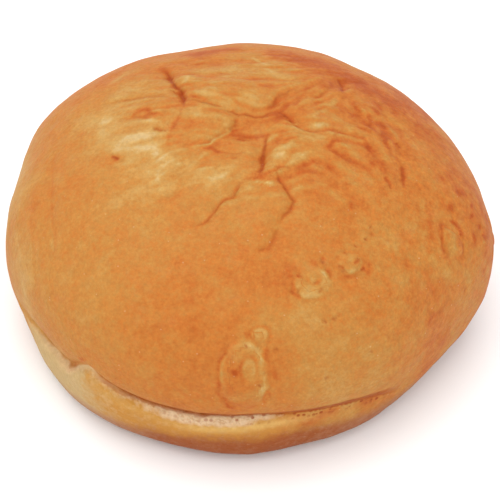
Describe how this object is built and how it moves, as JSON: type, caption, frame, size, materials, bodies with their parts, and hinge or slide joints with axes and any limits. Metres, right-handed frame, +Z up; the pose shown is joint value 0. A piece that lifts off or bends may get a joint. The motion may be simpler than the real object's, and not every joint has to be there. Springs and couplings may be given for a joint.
{
  "type": "bread roll",
  "caption": "Round domed bread roll, uncut, with folds in its golden crown, a torn seam round its front and a flat underside.",
  "frame": {"origin": "centre of the box's underside, on the surface that the roll stands on", "axes": "+Z up through the crown, -Y towards the front, where the torn seam is widest, +X to the right seen from the front"},
  "size_m": [0.108, 0.101, 0.054],
  "materials": {
    "crust": null
  },
  "bodies": {
    "root": {"bread_roll": "crust"}
  },
  "joints": []
}
